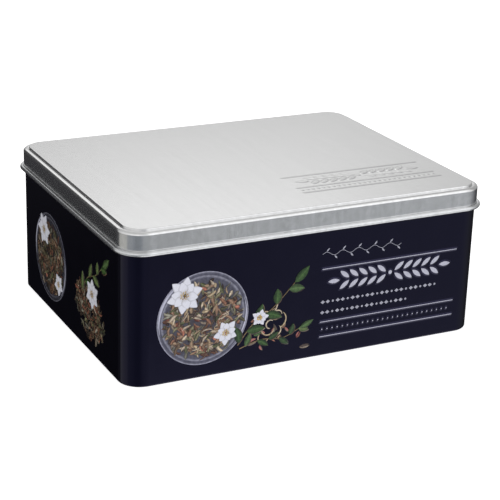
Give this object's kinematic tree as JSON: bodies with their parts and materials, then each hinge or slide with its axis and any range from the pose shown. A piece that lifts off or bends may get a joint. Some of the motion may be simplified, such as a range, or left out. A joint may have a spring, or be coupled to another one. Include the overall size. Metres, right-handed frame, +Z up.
{
  "type": "tea bag organizer box",
  "caption": "Rectangular slip-lid tin with rounded corners, a curled lid skirt, a folded base seam and a lift-out compartment insert for tea bags.",
  "frame": {"origin": "centre of the base, on the surface that the box stands on", "axes": "+X along the long front towards the right as seen from the front, +Y towards the back, +Z up out of the open box"},
  "size_m": [0.2056, 0.1626, 0.0811],
  "materials": {
    "body_lacquer": "gloss lacquer, near-black navy, with a light relief and print",
    "lid_tinplate": "clear-coated tinplate, satin",
    "bare_tinplate": "plain tinplate, bright",
    "print_pale": "pale lavender-grey print, satin",
    "print_botanical": "coloured print of leaves and blossoms, gloss"
  },
  "bodies": {
    "tin": {"body_wall": "body_lacquer", "bottom_panel": "bare_tinplate"},
    "long_divider": {"long_divider": "bare_tinplate"},
    "cross_dividers": {"cross_divider_left": "bare_tinplate", "cross_divider_right": "bare_tinplate"},
    "lid": {"lid": "lid_tinplate"}
  },
  "joints": [
    {"name": "insert_lift", "type": "slide", "parent": "tin", "child": "long_divider", "axis": [0, 0, 1], "range_m": [0, 0.085]},
    {"name": "cross_divider_lift", "type": "slide", "parent": "long_divider", "child": "cross_dividers", "axis": [0, 0, 1], "range_m": [0, 0.07]},
    {"name": "lid_lift", "type": "slide", "parent": "cross_dividers", "child": "lid", "axis": [0, 0, 1], "range_m": [0, 0.1]}
  ]
}
